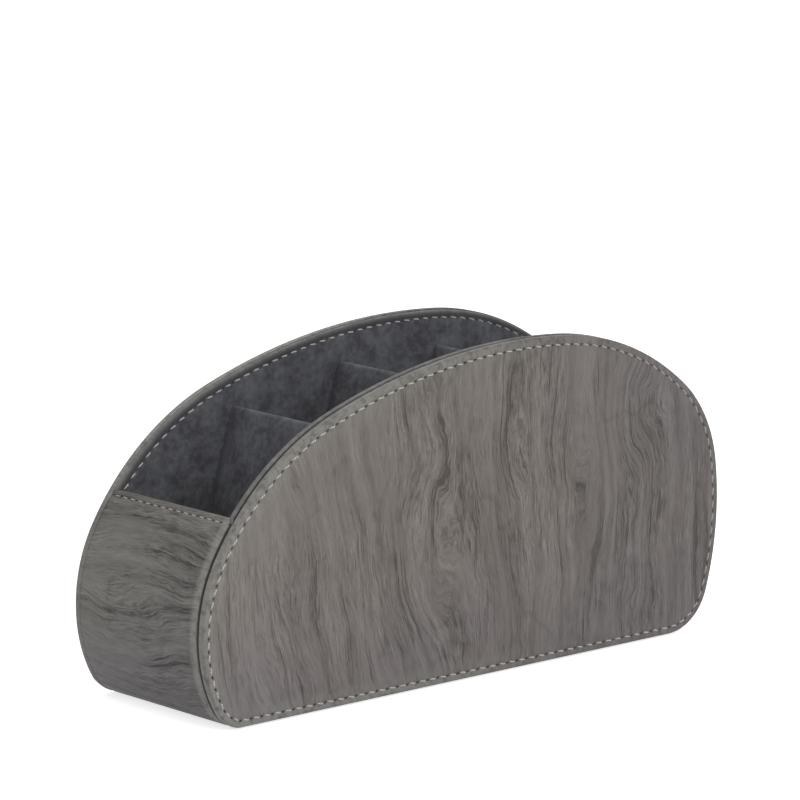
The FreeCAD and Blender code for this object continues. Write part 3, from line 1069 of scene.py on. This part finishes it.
def lining_sheet(side):
    """Suede on the inside of one side, and the needle holes along the dome."""
    sheet = new_sheet()
    first = lining_rings[0]
    y = side * (lining_y + first.y)
    dome = legs(lip_heading, back_heading)
    dot = draw_line(sheet, y, lip_heading, dome, dome_pitch, stitch_steps, dome_inset)
    notes, inward = notes_of(sheet)
    dome_length = dot[notes["along"]]
    draw_line(sheet, y, back_heading, legs(back_heading, lip_heading), 4.0, dot=dot)
    edges = close_line(sheet)

    def in_dome(vertex):
        return vertex[notes["along"]] <= dome_length + 0.01

    for vertex in sheet.verts:
        vertex.co += vertex[inward] * (first.dome if in_dome(vertex) else first.band)
        vertex.co.x -= forward if in_dome(vertex) else 0.0
    holes = []
    for before, ring in zip(lining_rings, lining_rings[1:]):
        def press(vertex):
            dome = in_dome(vertex)
            vertex.co += vertex[inward] * (ring.dome - before.dome if dome else ring.band - before.band)
            pit = near_hole(vertex[notes["phase"]]) * ring.pit if dome else 0.0
            vertex.co.y = side * (lining_y + ring.y + 0.4 * pit)
            # The hole note paints shade into the needle holes.
            vertex[notes["hole"]] = min(1.0, 1.6 * pit)
        edges = pull(sheet, edges, press)
        if ring.dome == dome_inset:
            holes = holes_of(sheet, edges, in_dome)
    bmesh.ops.edgeloop_fill(sheet, edges=edges)
    piece = make_piece(sheet, f"{hands[side]}_suede", [suede_finish],
                       [f"{hands[side]}_lining"], lambda middle: Vector((0.0, -side, 0.0)), 0.5)
    return piece, holes


linings, dome_holes = zip(*[lining_sheet(side) for side in hands])
print("needle holes along each dome:", [len(row) for row in dome_holes])

# %% Lining of the band
floor_inset = 3.9


def pull_across(sheet, columns):
    """Pulls a line at the right side of the box across to the left, in even columns."""
    edges = list(sheet.edges)
    for column in range(1, columns + 1):
        def carry(vertex):
            vertex.co.y = flap_half * (2.0 * column / columns - 1.0)
        edges = pull(sheet, edges, carry)


def band_suede():
    """Suede strip from the leather turned in at the back, down, across the floor and up to the lip."""
    sheet = new_sheet()
    start, end = moved(back_heading, turn_in - 0.6), moved(lip_heading, 0.6 - turn_in)
    draw_line(sheet, -flap_half, start, legs(start, end), 3.0)
    _, inward = notes_of(sheet)
    for vertex in sheet.verts:
        vertex.co += vertex[inward] * floor_inset
    pull_across(sheet, 12)
    return sheet


band_lining = make_piece(band_suede(), "band_suede", [suede_finish], ["band_lining"],
                         lambda middle: Vector((0.0, 0.0, 50.0)) - middle, 0.6)
print("suede strip:", len(band_lining.data.vertices), "vertices")

# %% [markdown]
# ## Dividers
#
# Each divider is a board that leans back, with suede folded over its top. The fold is a half turn
# round the board's edge, so one vertex goes up the front, spins round the top and comes down behind,
# and the line is pulled across the box.

# %% Divider sleeves
divider_lean = math.radians(18.0)
divider_height = 60.0
divider_places = (-70.989, -21.823, 27.344, 76.511)
sleeve_half = 1.6
floor_z = 4.8
rise = Vector((math.sin(divider_lean), 0.0, math.cos(divider_lean)))
lean_across = Vector((math.cos(divider_lean), 0.0, -math.sin(divider_lean)))


def sleeve_sheet(number, x):
    """Suede folded over one divider."""
    _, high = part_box(f"divider_{number}_sleeve")
    middle = Vector((x, -flap_half, divider_height))
    top = (high.z / MM - divider_height - sleeve_half) / rise.z
    sheet = new_sheet()
    front = middle - lean_across * sleeve_half
    foot = front + rise * ((floor_z - front.z) / rise.z)
    dot = sheet.verts.new(foot)
    climbs = 16
    climb = middle + rise * top - lean_across * sleeve_half - foot
    for _ in range(climbs):
        dot = lifted(sheet, dot, climb / climbs)
    centre = middle + rise * top
    for _ in range(8):
        dot = spun(sheet, dot, Leg(centre.x, centre.z, math.pi, 0.0, sleeve_half), 1.0 / 8.0)
    back_foot = middle + lean_across * sleeve_half
    back_foot += rise * ((floor_z - back_foot.z) / rise.z)
    drop = back_foot - dot.co
    for _ in range(climbs):
        dot = lifted(sheet, dot, drop / climbs)
    pull_across(sheet, 16)
    return sheet


def lifted(sheet, dot, step):
    """The next vertex, a straight step away."""
    made = bmesh.ops.extrude_vert_indiv(sheet, verts=[dot])["verts"]
    bmesh.ops.translate(sheet, verts=made, vec=step)
    return made[0]


sleeves = []
for number, x in enumerate(divider_places, start=1):
    sleeves.append(make_piece(sleeve_sheet(number, x), f"divider_{number}_suede", [suede_finish],
                              [f"divider_{number}_sleeve"],
                              away_from(x, 0.0, divider_height), 0.5))
print("sleeves:", len(sleeves))

# %% [markdown]
# ## Stitches
#
# Every stitch is a short piece of two-ply thread that comes out of one needle hole and goes into the
# next. A hundred and thirty of them go round each side, so one small mesh of a few dozen faces is
# made, and copied between each pair of holes, with a slight difference in length and angle.

# %% One stitch, and rows of it
Thread = namedtuple("Thread", "thick rise slant")
panel_thread = Thread(0.68, 0.50, -10.0)
dome_thread = Thread(0.66, 0.30, -8.0)
wall_thread = Thread(0.38, 0.0, -5.0)


def stitch_mesh():
    """A stitch a unit long: thick in the middle, with ends that dive into the needle holes."""
    stitch = bmesh.new()
    stitch.loops.layers.uv.new("ply")
    bmesh.ops.create_uvsphere(stitch, u_segments=8, v_segments=6, radius=0.5, calc_uvs=True)
    lying = Matrix.Rotation(math.pi / 2.0, 3, "Y")
    bmesh.ops.rotate(stitch, verts=stitch.verts, cent=(0.0, 0.0, 0.0), matrix=lying)
    for vertex in stitch.verts:
        vertex.co.x = math.copysign(0.5 * (2.0 * abs(vertex.co.x)) ** 0.75, vertex.co.x)
    made = bpy.data.meshes.new("one_stitch")
    stitch.to_mesh(made)
    stitch.free()
    return made


one_stitch = stitch_mesh()


def sew(holes, off, thread, row_name, closed=False):
    """A row of stitches between needle holes. Off is the direction away from the surface."""
    row = bmesh.new()
    ends = zip(holes, holes[1:] + holes[:1]) if closed else zip(holes, holes[1:])
    for start, end in ends:
        count = len(row.verts)
        row.from_mesh(one_stitch)
        row.verts.ensure_lookup_table()
        fresh = row.verts[count:]
        run = (end - start).normalized()
        side = off.cross(run).normalized()
        turn = Matrix((run, side, run.cross(side))).transposed().to_4x4()
        skew = Matrix.Rotation(math.radians(thread.slant + dice.uniform(-3.0, 3.0)), 4, "Z")
        length = (end - start).length * dice.uniform(0.67, 0.76)
        size = Matrix.Diagonal((length, thread.thick, thread.thick * 0.9, 1.0))
        bmesh.ops.transform(row, verts=fresh, matrix=turn @ skew @ size)
        for vertex in fresh:
            reach = 2.0 * (vertex.co.dot(run)) / length
            vertex.co += off * (thread.rise - 0.45 * reach ** 4)
        bmesh.ops.translate(row, verts=fresh, vec=(start + end) / 2.0)
    return make_piece(row, f"{row_name}_thread", [thread_finish], [f"{row_name}_stitches"],
                      away_from(0.0, 0.0, 0.0))


print("one stitch has", len(one_stitch.polygons), "faces")

# %% Sew every row
outer_rows = []
for side, holes in zip(hands, panel_holes):
    outer_rows.append(sew(holes, Vector((0.0, side, 0.0)), panel_thread, f"{hands[side]}_outer", True))
dome_rows = []
for side, holes in zip(hands, dome_holes):
    dome_rows.append(sew(holes, Vector((0.0, -side, 0.0)), dome_thread, f"{hands[side]}_inner"))
wall_rows = []
for end, name, heading in ((1, "front", lip_heading), (-1, "back", back_heading)):
    off = -inwards(moved(heading, -end * row_distance))
    wall_rows.append(sew(band_holes[end], off, wall_thread, f"{name}_wall"))
print("stitches round a side:", len(panel_holes[0]))

# %% [markdown]
# ## Felt pad
#
# A thin felt pad under the base keeps the holder from marking the table. It is cut with rounded
# corners, and its lower edge is a little crushed, so a flat face is rounded at its corners, given its
# thickness, and bevelled all round.


# %% Pad
def pad_sheet():
    """A rounded sheet of felt under the flat of the base."""
    low, high = (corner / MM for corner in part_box("base_pad"))
    middle = (low + high) / 2.0
    pad = new_sheet()
    bmesh.ops.create_grid(pad, x_segments=1, y_segments=1, size=0.5)
    size = high - low
    bmesh.ops.scale(pad, vec=(size.x, size.y, 1.0), verts=pad.verts)
    bmesh.ops.translate(pad, verts=pad.verts, vec=(middle.x, middle.y, high.z))
    bmesh.ops.bevel(pad, geom=pad.verts[:], offset=7.0, segments=8, profile=0.5,
                    affect="VERTICES", material=-1)
    body = bmesh.ops.extrude_face_region(pad, geom=pad.faces[:])["geom"]
    lower = [item for item in body if isinstance(item, bmesh.types.BMVert)]
    bmesh.ops.translate(pad, verts=lower, vec=(0.0, 0.0, low.z - high.z))
    rim = [edge for edge in pad.edges if all(vertex in lower for vertex in edge.verts)]
    bmesh.ops.bevel(pad, geom=rim, offset=0.3, segments=3, profile=0.5,
                    affect="EDGES", material=-1)
    return pad


pad = make_piece(pad_sheet(), "felt_pad", [felt_finish], ["base_pad"], away_from(0.0, 0.0, 0.4))
print("pad faces:", len(pad.data.polygons))

# %% [markdown]
# ## Cut sizes
#
# Each cover was cut flat before it was glued on, and these are the sizes of those cuts. The sides
# were cut to the outline and what turns over its edge, so their area is given too. The long strips
# follow from the length of the outline. They are kept beside the shapes and printed.

# %% The covers as they were cut
Cut = namedtuple("Cut", "piece wide long area held on carries")
panel_cut = (0.268, 0.135, 0.0304)
lining_cut = (0.2534, 0.1217, 0.0268)
fold_cut = math.pi * band_thick / 2.0 + turn_in
ends = moved(back_heading, fold_rise), moved(lip_heading, -fold_rise)
band_cut = (0.0704, (sum(leg_length(leg) for leg in legs(*ends)) + 2.0 * fold_cut) * MM, None)
cuts = []
for hand, panel, row in zip(hands.values(), panels, outer_rows):
    cuts.append(Cut(panel, *panel_cut, "stretched", f"{hand}_outer_board", [row]))
cuts.append(Cut(band, *band_cut, "stretched", "band_board", wall_rows))
for hand, lining, trim, row in zip(hands.values(), linings, trims, dome_rows):
    cuts.append(Cut(lining, *lining_cut, "stretched", f"{hand}_inner_board", [trim, row]))
cuts.append(Cut(band_lining, 0.0637, 0.3934, None, "stretched", "band_board", []))
cuts.append(Cut(pad, 0.2118, 0.0644, None, "laid", "band_board", []))
for number, sleeve in enumerate(sleeves, start=1):
    height = max(vertex.co.z for vertex in sleeve.data.vertices) - floor_z * MM
    slopes = 2.0 * height / rise.z
    cuts.append(Cut(sleeve, 0.0637, slopes, None, "folded", f"divider_{number}_board", []))
for cut in cuts:
    print(cut.piece.name, "was cut", round(cut.wide / MM, 1), "x", round(cut.long / MM, 1), "mm")
